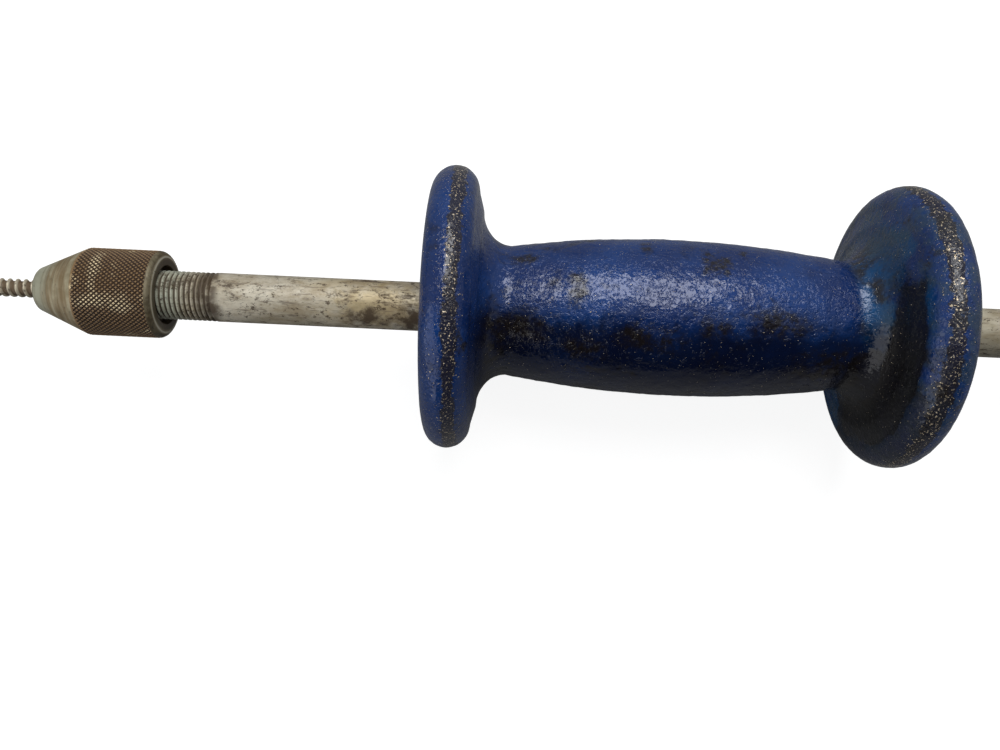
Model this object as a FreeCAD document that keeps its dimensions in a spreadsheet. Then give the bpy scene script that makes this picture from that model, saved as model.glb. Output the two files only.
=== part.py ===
import FreeCAD, Part
import math
import os
import Sketcher

# Slide hammer with a screw nose. Millimetres. +X runs along the rod from the nose to the grip, +Z is up.
# The origin is on the rod's axis, in the plane of the nose's front face.

DIMENSIONS = [
    # The rod: half-inch bar, with a 1/2-20 UNF thread at each end.
    ("rod_diameter", 12.7),
    ("rod_length", 516.6),
    ("rod_chamfer", 1.0),
    ("thread_major_diameter", 12.6),
    ("front_thread_end", 46.6),
    ("rear_thread_length", 26.0),
    # The nose: a cone and a knurled cylinder, with the screw's hole and the rod's thread inside.
    ("nose_length", 32.5),
    ("nose_diameter", 22.66),
    ("nose_cone_length", 13.45),
    ("nose_tip_diameter", 11.88),
    ("nose_tip_round", 1.55),
    ("nose_rear_round", 1.8),
    ("nose_screw_hole", 5.0),
    ("nose_floor", 9.0),
    ("nose_thread_clearance", 0.05),
    ("nose_counterbore", 15.4),
    ("nose_counterbore_depth", 2.5),
    ("nose_lead_in", 0.65),
    # The pull screw: a coarse tapping screw, caught by its head inside the nose.
    ("screw_length", 38.1),
    ("screw_diameter", 4.8),
    ("screw_neck_diameter", 4.4),
    ("screw_neck_overhang", 0.4),
    ("screw_point_length", 6.0),
    ("screw_tip_diameter", 0.6),
    ("screw_collar_diameter", 10.4),
    ("screw_collar_height", 1.2),
    ("screw_head_flats", 7.94),
    ("screw_head_height", 4.2),
    ("screw_head_gap", 0.05),
    # The weight: a barrel between two round-rimmed flanges.
    ("weight_centre", 163.8),
    ("weight_length", 125.2),
    ("weight_dome", 1.8),
    ("weight_bore", 13.5),
    ("weight_bore_lead_in", 0.8),
    ("weight_hub_radius", 12.0),
    ("flange_diameter", 72.4),
    ("flange_rim_radius", 5.8),
    ("flange_lean", 1.25),
    ("flange_fillet_radius", 9.0),
    ("barrel_diameter", 40.2),
    ("barrel_neck_diameter", 33.4),
    ("barrel_half_length", 42.3),
    # The stop collar and its spring pin.
    ("collar_front", 380.6),
    ("collar_length", 14.0),
    ("collar_diameter", 28.6),
    ("collar_chamfer", 1.2),
    ("seat_clearance", 0.02),
    ("pin_diameter", 4.76),
    ("pin_bore", 2.4),
    ("pin_slit", 1.0),
    ("pin_length", 26.0),
    # The grip: washer, tube, sleeve, washer, split washer and nut.
    ("washer_outer", 27.0),
    ("washer_bore", 13.5),
    ("washer_thickness", 2.4),
    ("tube_outer", 19.05),
    ("tube_bore", 13.4),
    ("tube_length", 114.3),
    ("sleeve_outer", 31.8),
    ("sleeve_round", 3.0),
    ("sleeve_gap", 1.2),
    ("rib_groove_width", 3.0),
    ("rib_groove_depth", 1.6),
    ("rib_count", 11),
    ("rib_spacing", 9.0),
    ("lock_washer_outer", 22.0),
    ("lock_washer_thickness", 3.2),
    ("lock_washer_sweep", 350),
    ("nut_flats", 19.05),
    ("nut_height", 11.1),
    ("nut_chamfer", 1.3),
]


def fill_sheet(doc):
    sheet = doc.addObject("Spreadsheet::Sheet", "dims")
    for row, (alias, value) in enumerate(DIMENSIONS, start=1):
        sheet.set(f"A{row}", alias)
        sheet.set(f"B{row}", str(value))
        sheet.setAlias(f"B{row}", alias)
    doc.recompute()
    return sheet


doc = FreeCAD.newDocument("slide_hammer")
dims = fill_sheet(doc)
part_bodies = []


def value_of(expression):
    """The present value of an expression on the sheet, used to draw a sketch near its solution."""
    return float(dims.evalExpression(expression))


def new_body(name, along):
    """A body on the rod's axis, moved along it by an expression."""
    body = doc.addObject("PartDesign::Body", name)
    body.Label = name
    body.setExpression(".Placement.Base.x", along)
    part_bodies.append(body)
    return body


def new_sketch(body, name, role):
    plane = [item for item in body.Origin.OriginFeatures if item.Role == role][0]
    sketch = body.newObject("Sketcher::SketchObject", name)
    sketch.AttachmentSupport = [(plane, "")]
    sketch.MapMode = "FlatFace"
    return sketch


def bind(sketch, constraint, name, expression):
    index = sketch.addConstraint(constraint)
    sketch.renameConstraint(index, name)
    sketch.setExpression("Constraints." + name, expression)


def place_corner(sketch, edge, end, number, along, radius):
    """Hold one corner of an outline: along the axis and out from it."""
    if along == "0":
        sketch.addConstraint(Sketcher.Constraint("PointOnObject", edge, end, -2))
    else:
        held = Sketcher.Constraint("DistanceX", -1, 1, edge, end, value_of(along))
        bind(sketch, held, f"corner_{number}_along", along)
    if radius == "0":
        sketch.addConstraint(Sketcher.Constraint("PointOnObject", edge, end, -1))
    else:
        held = Sketcher.Constraint("DistanceY", -1, 1, edge, end, value_of(radius))
        bind(sketch, held, f"corner_{number}_out", radius)


def arc_between(start, end, radius, turn):
    """The short arc from start to end. A turn of 1 bends left, -1 bends right."""
    chord = end - start
    middle = (start + end) * 0.5
    left = FreeCAD.Vector(-chord.y, chord.x, 0).normalize()
    rise = math.sqrt(max(radius**2 - (chord.Length / 2) ** 2, 0))
    centre = middle + left * (turn * rise)
    circle = Part.Circle(centre, FreeCAD.Vector(0, 0, 1), radius)
    first, last = (start, end) if turn > 0 else (end, start)
    first_angle = math.atan2(first.y - centre.y, first.x - centre.x)
    last_angle = math.atan2(last.y - centre.y, last.x - centre.x)
    return Part.ArcOfCircle(circle, first_angle, last_angle)


def draw_outline(sketch, corners):
    """Draw a closed outline. Each corner is (along, out), or (along, out, radius, turn) where an arc
    leaves it. The corners are expressions on the sheet."""
    points = [FreeCAD.Vector(value_of(c[0]), value_of(c[1]), 0) for c in corners]
    ends = []
    for number, corner in enumerate(corners):
        start = points[number]
        end = points[(number + 1) % len(corners)]
        if len(corner) == 2:
            edge = sketch.addGeometry(Part.LineSegment(start, end), False)
            ends.append((edge, 1, 2))
            continue
        radius, turn = corner[2], corner[3]
        edge = sketch.addGeometry(arc_between(start, end, value_of(radius), turn), False)
        ends.append((edge, 1, 2) if turn > 0 else (edge, 2, 1))
    for number, (edge, _, tail) in enumerate(ends):
        following, head, _ = ends[(number + 1) % len(ends)]
        sketch.addConstraint(Sketcher.Constraint("Coincident", edge, tail, following, head))
    for number, (edge, head, _) in enumerate(ends):
        place_corner(sketch, edge, head, number, corners[number][0], corners[number][1])
        if len(corners[number]) == 4:
            radius = corners[number][2]
            rounded = Sketcher.Constraint("Radius", edge, value_of(radius))
            bind(sketch, rounded, f"arc_{number}_radius", radius)


def revolve(body, name, corners, sweep=None):
    sketch = new_sketch(body, name + "_outline", "XZ_Plane")
    draw_outline(sketch, corners)
    turned = body.newObject("PartDesign::Revolution", name)
    turned.Profile = sketch
    turned.ReferenceAxis = (sketch, ["H_Axis"])
    turned.Angle = 360
    if sweep:
        turned.setExpression("Angle", sweep)


def groove(body, name, corners):
    sketch = new_sketch(body, name + "_outline", "XZ_Plane")
    draw_outline(sketch, corners)
    cut = body.newObject("PartDesign::Groove", name)
    cut.Profile = sketch
    cut.ReferenceAxis = (sketch, ["H_Axis"])
    cut.Angle = 360
    return cut


def cross_hole(body, name, along, diameter):
    """A round hole right through the body, across the axis along Y."""
    sketch = new_sketch(body, name + "_outline", "XZ_Plane")
    start = FreeCAD.Vector(value_of(along), 0, 0)
    circle = Part.Circle(start, FreeCAD.Vector(0, 0, 1), value_of(diameter) / 2)
    sketch.addGeometry(circle, False)
    sketch.addConstraint(Sketcher.Constraint("PointOnObject", 0, 3, -1))
    bind(sketch, Sketcher.Constraint("DistanceX", -1, 1, 0, 3, start.x), "hole_along", along)
    bind(sketch, Sketcher.Constraint("Diameter", 0, value_of(diameter)), "hole_size", diameter)
    hole = body.newObject("PartDesign::Pocket", name)
    hole.Profile = sketch
    hole.Type = "ThroughAll"
    hole.Midplane = True


def hexagon_pad(body, name, flats, height, plane_offset=None):
    """A hexagon across the given flats, padded along the axis."""
    sketch = new_sketch(body, name + "_outline", "YZ_Plane")
    across_corners = f"{flats} * 2 / sqrt(3)"
    corners = []
    for number in range(6):
        angle = math.radians(60 * number)
        unit = FreeCAD.Vector(math.cos(angle), math.sin(angle), 0)
        corners.append(unit * (value_of(across_corners) / 2))
    for number in range(6):
        sketch.addGeometry(Part.LineSegment(corners[number], corners[(number + 1) % 6]), False)
    guide = Part.Circle(FreeCAD.Vector(0, 0, 0), FreeCAD.Vector(0, 0, 1), corners[0].Length)
    circle = sketch.addGeometry(guide, True)
    sketch.addConstraint(Sketcher.Constraint("Coincident", circle, 3, -1, 1))
    for number in range(6):
        sketch.addConstraint(Sketcher.Constraint("Coincident", number, 2, (number + 1) % 6, 1))
        sketch.addConstraint(Sketcher.Constraint("PointOnObject", number, 1, circle))
    for number in range(5):
        sketch.addConstraint(Sketcher.Constraint("Equal", number, number + 1))
    sketch.addConstraint(Sketcher.Constraint("PointOnObject", 0, 1, -1))
    size = Sketcher.Constraint("Diameter", circle, 2 * corners[0].Length)
    bind(sketch, size, "across_corners", across_corners)
    if plane_offset:
        sketch.setExpression(".AttachmentOffset.Base.z", plane_offset)
    pad = body.newObject("PartDesign::Pad", name)
    pad.Profile = sketch
    pad.setExpression("Length", height)


def make_rod():
    end = "dims.rod_length"
    front_end = "dims.nose_floor + dims.screw_head_height + dims.screw_head_gap"
    rod_out = "dims.rod_diameter / 2"
    thread_out = "dims.thread_major_diameter / 2"
    chamfered = "dims.thread_major_diameter / 2 - dims.rod_chamfer"
    body = new_body("pull_rod", front_end)
    front_thread = f"dims.front_thread_end - ({front_end})"
    rear_thread = "dims.rod_length - dims.rear_thread_length"
    revolve(body, "rod_bar", [
        ("0", "0"),
        ("0", chamfered),
        ("dims.rod_chamfer", thread_out),
        (front_thread, thread_out),
        (front_thread, rod_out),
        (rear_thread, rod_out),
        (rear_thread, thread_out),
        (f"{end} - dims.rod_chamfer", thread_out),
        (end, chamfered),
        (end, "0"),
    ])
    pin_along = f"dims.collar_front + dims.collar_length / 2 - ({front_end})"
    cross_hole(body, "rod_pin_hole", pin_along, "dims.pin_diameter + 2 * dims.seat_clearance")


def make_nose():
    body = new_body("nose_chuck", "0 mm")
    out = "dims.nose_diameter / 2"
    tip = "dims.nose_tip_diameter / 2"
    bore = "dims.thread_major_diameter / 2 + dims.nose_thread_clearance"
    counterbore = "dims.nose_counterbore / 2"
    recess = "dims.nose_length - dims.nose_counterbore_depth"
    revolve(body, "nose_shell", [
        ("0", "dims.nose_screw_hole / 2"),
        ("0", f"{tip} - dims.nose_tip_round", "dims.nose_tip_round", -1),
        ("dims.nose_tip_round", tip),
        ("dims.nose_cone_length", out),
        ("dims.nose_length - dims.nose_rear_round", out, "dims.nose_rear_round", -1),
        ("dims.nose_length", f"{out} - dims.nose_rear_round"),
        ("dims.nose_length", counterbore),
        (recess, counterbore),
        (recess, f"{bore} + dims.nose_lead_in"),
        (f"{recess} - dims.nose_lead_in", bore),
        ("dims.nose_floor", bore),
        ("dims.nose_floor", "dims.nose_screw_hole / 2"),
    ])


def make_screw():
    body = new_body("pull_screw", "dims.nose_floor - dims.screw_length")
    shank = "dims.screw_diameter / 2"
    neck = "dims.screw_neck_diameter / 2"
    neck_start = "dims.screw_length - dims.nose_floor - dims.screw_neck_overhang"
    collar = "dims.screw_collar_diameter / 2"
    collar_back = "dims.screw_length + dims.screw_collar_height"
    revolve(body, "screw_shank", [
        ("0", "0"),
        ("0", "dims.screw_tip_diameter / 2"),
        ("dims.screw_point_length", shank),
        (neck_start, shank),
        (neck_start, neck),
        ("dims.screw_length", neck),
        ("dims.screw_length", collar),
        (collar_back, collar),
        (collar_back, "0"),
    ])
    head_height = "dims.screw_head_height - dims.screw_collar_height"
    hexagon_pad(body, "screw_head", "dims.screw_head_flats", head_height, collar_back)


def make_weight():
    """The outline runs from the front bore mouth over both flanges and back down to the bore."""
    body = new_body("slide_weight", "dims.weight_centre - dims.weight_length / 2 - dims.weight_dome")
    total = "(dims.weight_length + 2 * dims.weight_dome)"
    half = f"({total} / 2)"
    bore = "dims.weight_bore / 2"
    mouth = f"{bore} + dims.weight_bore_lead_in"
    rim = "dims.flange_diameter / 2 - dims.flange_rim_radius"
    rim_out = "dims.weight_dome"
    rim_in = f"({rim_out} + 2 * dims.flange_rim_radius)"
    fillet_top = f"({rim_in} + dims.flange_lean)"
    neck = "dims.barrel_neck_diameter / 2"
    neck_at = f"({half} - dims.barrel_half_length)"
    fillet_out = f"{neck} + dims.flange_fillet_radius"
    rise = "(dims.barrel_diameter - dims.barrel_neck_diameter) / 2"
    barrel_radius = f"(dims.barrel_half_length ^ 2 + ({rise}) ^ 2) / (2 * ({rise}))"
    rim_radius = "dims.flange_rim_radius"
    fillet = "dims.flange_fillet_radius"
    revolve(body, "weight_casting", [
        ("dims.weight_bore_lead_in", bore),
        ("0", mouth),
        ("0", "dims.weight_hub_radius"),
        (rim_out, rim, rim_radius, -1),
        (f"{rim_out} + {rim_radius}", "dims.flange_diameter / 2", rim_radius, -1),
        (rim_in, rim),
        (fillet_top, fillet_out, fillet, 1),
        (neck_at, neck, barrel_radius, -1),
        (f"{total} - {neck_at}", neck, fillet, 1),
        (f"{total} - {fillet_top}", fillet_out),
        (f"{total} - {rim_in}", rim, rim_radius, -1),
        (f"{total} - {rim_out} - {rim_radius}", "dims.flange_diameter / 2", rim_radius, -1),
        (f"{total} - {rim_out}", rim),
        (total, "dims.weight_hub_radius"),
        (total, mouth),
        (f"{total} - dims.weight_bore_lead_in", bore),
    ])


def make_stop_collar():
    body = new_body("stop_collar", "dims.collar_front")
    out = "dims.collar_diameter / 2"
    bore = "dims.rod_diameter / 2 + dims.seat_clearance"
    chamfered = f"{out} - dims.collar_chamfer"
    revolve(body, "collar_ring", [
        ("0", bore),
        ("0", chamfered),
        ("dims.collar_chamfer", out),
        ("dims.collar_length - dims.collar_chamfer", out),
        ("dims.collar_length", chamfered),
        ("dims.collar_length", bore),
    ])
    pin_size = "dims.pin_diameter + 2 * dims.seat_clearance"
    cross_hole(body, "collar_pin_hole", "dims.collar_length / 2", pin_size)


def make_stop_pin():
    """A rolled spring pin across the rod, with its slit toward the grip."""
    body = new_body("stop_pin", "dims.collar_front + dims.collar_length / 2")
    sketch = new_sketch(body, "pin_outline", "XZ_Plane")
    centre = FreeCAD.Vector(0, 0, 0)
    normal = FreeCAD.Vector(0, 0, 1)
    for number, diameter in enumerate(("dims.pin_diameter", "dims.pin_bore")):
        sketch.addGeometry(Part.Circle(centre, normal, value_of(diameter) / 2), False)
        sketch.addConstraint(Sketcher.Constraint("Coincident", number, 3, -1, 1))
        held = Sketcher.Constraint("Diameter", number, value_of(diameter))
        bind(sketch, held, f"ring_{number}_size", diameter)
    pad = body.newObject("PartDesign::Pad", "pin_tube")
    pad.Profile = sketch
    pad.Midplane = True
    pad.setExpression("Length", "dims.pin_length")
    slit = new_sketch(body, "slit_outline", "XZ_Plane")
    draw_slit(slit)
    cut = body.newObject("PartDesign::Pocket", "pin_slit_cut")
    cut.Profile = slit
    cut.Type = "ThroughAll"
    cut.Midplane = True


def draw_slit(sketch):
    """A rectangle from the pin's bore out past its wall, centred on the sketch's horizontal axis."""
    inner = value_of("dims.pin_bore / 4")
    outer = value_of("dims.pin_diameter")
    half = value_of("dims.pin_slit / 2")
    corners = [(inner, -half), (outer, -half), (outer, half), (inner, half)]
    points = [FreeCAD.Vector(x, y, 0) for x, y in corners]
    for number in range(4):
        sketch.addGeometry(Part.LineSegment(points[number], points[(number + 1) % 4]), False)
    for number in range(4):
        sketch.addConstraint(Sketcher.Constraint("Coincident", number, 2, (number + 1) % 4, 1))
    sketch.addConstraint(Sketcher.Constraint("Horizontal", 0))
    sketch.addConstraint(Sketcher.Constraint("Horizontal", 2))
    sketch.addConstraint(Sketcher.Constraint("Vertical", 3))
    sketch.addConstraint(Sketcher.Constraint("Symmetric", 1, 1, 1, 2, -1))
    width = Sketcher.Constraint("DistanceY", 1, 1, 1, 2, 2 * half)
    bind(sketch, width, "slit_width", "dims.pin_slit")
    bind(sketch, Sketcher.Constraint("DistanceX", -1, 1, 0, 1, inner), "slit_start", "dims.pin_bore / 4")
    bind(sketch, Sketcher.Constraint("DistanceX", -1, 1, 0, 2, outer), "slit_end", "dims.pin_diameter")


def make_ring(name, along, length, outer, bore, sweep=None):
    """A plain ring or tube on the axis."""
    body = new_body(name, along)
    revolve(body, name + "_ring", [
        ("0", f"{bore} / 2"),
        ("0", f"{outer} / 2"),
        (length, f"{outer} / 2"),
        (length, f"{bore} / 2"),
    ], sweep)


def make_grip_sleeve(along):
    """The rubber sleeve, with ring grooves that leave ribs between them."""
    body = new_body("grip_sleeve", f"{along} + dims.sleeve_gap")
    length = "(dims.tube_length - 2 * dims.sleeve_gap)"
    out = "dims.sleeve_outer / 2"
    bore = "dims.tube_outer / 2 + dims.seat_clearance"
    revolve(body, "sleeve_body", [
        ("0", bore),
        ("0", f"{out} - dims.sleeve_round", "dims.sleeve_round", -1),
        ("dims.sleeve_round", out),
        (f"{length} - dims.sleeve_round", out, "dims.sleeve_round", -1),
        (length, f"{out} - dims.sleeve_round"),
        (length, bore),
    ])
    run = "(dims.rib_count - 1) * dims.rib_spacing"
    first = f"(({length} - {run} - dims.rib_groove_width) / 2)"
    last = f"{first} + dims.rib_groove_width"
    clear = f"{out} + dims.rib_groove_depth"
    depth = f"{out} - dims.rib_groove_depth"
    cut = groove(body, "rib_groove", [(first, clear), (first, depth), (last, depth), (last, clear)])
    pattern = body.newObject("PartDesign::LinearPattern", "rib_grooves")
    pattern.Originals = [cut]
    pattern.Direction = (cut.Profile[0], ["H_Axis"])
    pattern.setExpression("Length", run)
    pattern.setExpression("Occurrences", "dims.rib_count")
    body.Tip = pattern


def make_end_nut(along):
    body = new_body("end_nut", along)
    hexagon_pad(body, "nut_prism", "dims.nut_flats", "dims.nut_height")
    bore = "dims.thread_major_diameter / 2 + dims.seat_clearance"
    groove(body, "nut_bore", [
        ("0", "0"),
        ("0", bore),
        ("dims.nut_height", bore),
        ("dims.nut_height", "0"),
    ])
    flat = "dims.nut_flats / 2"
    clear = f"{flat} + 3 * dims.nut_chamfer"
    fall = "dims.nut_chamfer"
    groove(body, "nut_rear_chamfer", [
        ("dims.nut_height", flat),
        (f"dims.nut_height - {fall}", clear),
        ("dims.nut_height", clear),
    ])


def make_grip():
    front_washer = "dims.collar_front + dims.collar_length"
    tube = f"{front_washer} + dims.washer_thickness"
    rear_washer = f"{tube} + dims.tube_length"
    lock_washer = f"{rear_washer} + dims.washer_thickness"
    nut = f"{lock_washer} + dims.lock_washer_thickness"
    washer = ("dims.washer_thickness", "dims.washer_outer", "dims.washer_bore")
    make_ring("front_grip_washer", front_washer, *washer)
    make_ring("grip_tube", tube, "dims.tube_length", "dims.tube_outer", "dims.tube_bore")
    make_grip_sleeve(tube)
    make_ring("rear_grip_washer", rear_washer, *washer)
    split = ("dims.lock_washer_thickness", "dims.lock_washer_outer", "dims.washer_bore")
    make_ring("lock_washer", lock_washer, *split, sweep="dims.lock_washer_sweep * 1 deg")
    make_end_nut(nut)


def check_document():
    for item in doc.Objects:
        if "Invalid" in item.State or "Error" in item.State:
            raise RuntimeError(f"{item.Name} did not compute: {item.State}")
    for body in part_bodies:
        if body.Shape.isNull() or not body.Shape.isValid():
            raise RuntimeError(f"{body.Label} has no valid shape")


make_rod()
make_nose()
make_screw()
make_weight()
make_stop_collar()
make_stop_pin()
make_grip()
doc.recompute()
check_document()
os.makedirs("parts", exist_ok=True)
for body in part_bodies:
    body.Shape.exportStep(f"parts/{body.Label}.step")
    print(body.Label, len(body.Shape.Solids), round(body.Shape.Volume, 1), body.Shape.BoundBox)
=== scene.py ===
import math

import bpy
import numpy as np
from mathutils import Matrix, Vector, noise


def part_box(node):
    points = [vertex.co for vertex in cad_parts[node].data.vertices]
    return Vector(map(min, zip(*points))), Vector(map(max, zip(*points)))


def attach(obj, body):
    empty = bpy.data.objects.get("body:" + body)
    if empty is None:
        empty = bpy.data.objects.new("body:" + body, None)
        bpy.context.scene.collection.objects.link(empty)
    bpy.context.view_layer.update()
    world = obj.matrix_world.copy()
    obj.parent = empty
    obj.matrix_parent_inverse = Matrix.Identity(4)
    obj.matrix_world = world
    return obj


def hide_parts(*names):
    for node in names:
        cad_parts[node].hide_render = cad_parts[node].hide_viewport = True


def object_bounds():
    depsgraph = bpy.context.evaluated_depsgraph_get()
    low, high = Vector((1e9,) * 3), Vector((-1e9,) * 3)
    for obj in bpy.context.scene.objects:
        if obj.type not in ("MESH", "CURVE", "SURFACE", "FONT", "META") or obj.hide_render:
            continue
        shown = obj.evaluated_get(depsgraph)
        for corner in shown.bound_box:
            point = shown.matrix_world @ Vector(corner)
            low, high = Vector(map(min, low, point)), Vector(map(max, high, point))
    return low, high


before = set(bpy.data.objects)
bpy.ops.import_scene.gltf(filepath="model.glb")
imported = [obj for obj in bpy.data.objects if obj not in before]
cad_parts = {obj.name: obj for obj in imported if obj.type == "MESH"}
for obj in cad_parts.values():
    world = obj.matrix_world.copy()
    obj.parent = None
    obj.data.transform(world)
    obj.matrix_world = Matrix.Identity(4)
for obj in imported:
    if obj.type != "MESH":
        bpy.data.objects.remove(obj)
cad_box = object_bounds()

# Slide hammer with a screw nose. Metres. +X runs along the rod from the nose to the grip, +Z is up.

MM = 0.001
TURN = 2 * math.pi

# ---------------------------------------------------------------- places, read from the parts in model.glb


def ends(node):
    """Where a node starts and ends along the rod, and its outer radius."""
    low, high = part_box(node)
    return low.x, high.x, (high.y - low.y) / 2


NOSE_FRONT, NOSE_REAR, NOSE_RADIUS = ends("nose_chuck")
ROD_FRONT, ROD_REAR, ROD_RADIUS = ends("pull_rod")
SCREW_TIP, SCREW_BACK, SCREW_COLLAR_RADIUS = ends("pull_screw")
WEIGHT_FRONT, WEIGHT_REAR, FLANGE_RADIUS = ends("slide_weight")
WEIGHT_MIDDLE = (WEIGHT_FRONT + WEIGHT_REAR) / 2
FLOOR_HEIGHT = cad_box[0].z

# The rod's thread, 1/2-20 UNF.
THREAD_PITCH = 1.27 * MM
THREAD_DEPTH = 0.74 * MM
THREAD_RADIUS = 6.3 * MM
FRONT_THREAD_END = 46.6 * MM
REAR_THREAD_LENGTH = 26 * MM

# The weight's outline, measured from its middle.
BARREL_RADIUS = 20.1 * MM
NECK_RADIUS = 16.7 * MM
BARREL_HALF = 42.3 * MM
FILLET_ALONG = 7.45 * MM
FILLET_OUT = 9.0 * MM
RIM_ALONG = 5.8 * MM
RIM_OUT = 5.9 * MM
FLANGE_DOME = 1.8 * MM
HUB_RADIUS = 9 * MM
WEIGHT_BORE = 6.75 * MM
BORE_CHAMFER = 0.8 * MM
RIM_MIDDLE = (WEIGHT_REAR - WEIGHT_FRONT) / 2 - FLANGE_DOME - RIM_ALONG
# Where the rims are worn through, on both sides of the middle.
WORN_RING = 55.4 * MM
# The casting's lumps: about how many in a metre, and how high they stand.
LUMPS = ((110, 0.1 * MM), (420, 0.09 * MM), (1000, 0.06 * MM))

# The nose's outline.
NOSE_TIP_RADIUS = 5.94 * MM
NOSE_TIP_ROUND = 1.55 * MM
NOSE_CONE_LENGTH = 13.45 * MM
NOSE_HOLE_RADIUS = 2.5 * MM
NOSE_FLOOR = 9 * MM
NOSE_REAR_ROUND = 1.8 * MM
NOSE_COUNTERBORE = 7.7 * MM
NOSE_COUNTERBORE_DEPTH = 2.5 * MM
NOSE_THREAD_GAP = 0.06 * MM
NOSE_LEAD_IN = 0.65 * MM
KNURLS_ROUND = 62
KNURL_PITCH = 1.35 * MM
KNURL_DEPTH = 0.42 * MM
KNURL_START = NOSE_CONE_LENGTH - 2 * MM
KNURL_END = NOSE_REAR - 1.5 * MM
KNURL_FLANK = 0.62

# The pull screw.
SCREW_CREST = 2.4 * MM
SCREW_ROOT = 1.8 * MM
SCREW_PITCH = 2.1 * MM
SCREW_POINT = 6 * MM
SCREW_NECK = 2.2 * MM
SCREW_COLLAR = 1.2 * MM
SCREW_COLLAR_EDGE = 0.15 * MM
SCREW_COLLAR_SLOPE = 0.4 * MM
SCREW_FLATS = 7.94 * MM

# The rear fittings.
WASHER_BORE = 6.75 * MM
WASHER_ROUND = 0.4 * MM
NUT_FLATS = 19.05 * MM
NUT_CHAMFER = 0.85 * MM
NUT_LEAD_IN = 0.7 * MM
SLEEVE_ROUND = 3 * MM
SLEEVE_GROOVES = 11
GROOVE_SPACING = 9 * MM
GROOVE_WIDTH = 3 * MM
GROOVE_DEPTH = 1.6 * MM
SEAM_HEIGHT = 0.14 * MM
SEAM_HALF_WIDTH = 0.06

# ---------------------------------------------------------------- outlines, as (along, out) points


def line(start, end, step=None):
    """Points from start up to but not including end, at most step apart."""
    count = 1 if step is None else max(1, math.ceil(math.dist(start, end) / step))
    share = np.arange(count)[:, None] / count
    return np.array(start) + share * (np.array(end) - np.array(start))


def arc(centre, along, out, first, last, step):
    """Points on an ellipse's arc from angle first up to last, in degrees from the +X direction."""
    length = math.radians(abs(last - first)) * max(along, out)
    count = max(2, math.ceil(length / step))
    angle = np.radians(first + (last - first) * np.arange(count) / count)
    return np.stack([centre[0] + along * np.cos(angle), centre[1] + out * np.sin(angle)], axis=1)


def joined(*stretches):
    return np.concatenate(stretches)


def mirrored(points, middle):
    """The same stretch reflected about a plane across the rod, running the other way."""
    flipped = points[::-1].copy()
    flipped[:, 0] = 2 * middle - flipped[:, 0]
    return flipped


# ---------------------------------------------------------------- meshes


def grid_mesh(name, along, out, closed, wear=None):
    """A surface turned about the rod's axis. along and out are tables of rings by steps round.
    Angle 0 faces -Y and a quarter turn faces +Z. An open outline's ends are closed to the axis."""
    rings, steps = out.shape
    angle = np.arange(steps) / steps * TURN
    points = np.stack([along, -out * np.cos(angle), out * np.sin(angle)], axis=2).reshape(-1, 3)
    following = (np.arange(steps) + 1) % steps
    faces = []
    for ring in range(rings if closed else rings - 1):
        here = ring * steps
        there = (ring + 1) % rings * steps
        start = np.arange(steps)
        corners = (here + start, there + start, there + following, here + following)
        faces.extend(np.stack(corners, axis=1).tolist())
    points = points.tolist()
    if not closed:
        first, last = len(points), len(points) + 1
        points.append((float(along[0].mean()), 0, 0))
        points.append((float(along[-1].mean()), 0, 0))
        back = (rings - 1) * steps
        for step in range(steps):
            faces.append((first, step, int(following[step])))
            faces.append((last, back + int(following[step]), back + step))
    mesh = bpy.data.meshes.new(name)
    mesh.from_pydata(points, [], faces)
    if wear is not None:
        values = np.zeros(len(points), np.float32)
        values[: rings * steps] = wear.reshape(-1)
        mesh.attributes.new("wear", "FLOAT", "POINT").data.foreach_set("value", values)
    return mesh


def add_piece(name, mesh, body, nodes, material, sharp=35):
    mesh.polygons.foreach_set("use_smooth", [True] * len(mesh.polygons))
    mesh.set_sharp_from_angle(angle=math.radians(sharp))
    mesh.materials.append(material)
    piece = bpy.data.objects.new(name, mesh)
    bpy.context.scene.collection.objects.link(piece)
    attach(piece, body)
    if nodes:
        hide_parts(*nodes)
    return piece


def turned_mesh(name, outline, steps, closed, shape=None):
    """Turns an outline about the rod. shape takes the tables (along, out, angle) and gives
    (out, wear)."""
    along = np.repeat(outline[:, :1], steps, axis=1)
    out = np.repeat(outline[:, 1:], steps, axis=1)
    angle = np.arange(steps)[None, :] / steps * TURN
    wear = None
    if shape:
        out, wear = shape(along, out, angle)
    return grid_mesh(name, along, out, closed, wear)


def smooth_step(value, low, high):
    share = np.clip((value - low) / (high - low), 0, 1)
    return share * share * (3 - 2 * share)


def thread_height(along, angle, pitch, crest=0.24, root=0.22):
    """A right-hand thread's height, from 0 in the root to 1 on the crest."""
    phase = np.mod(along / pitch + angle / TURN, 1)
    away = np.abs(2 * phase - 1)
    return 1 - np.clip((away - crest) / (1 - crest - root), 0, 1)


# ---------------------------------------------------------------- the sub-parts


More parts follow.
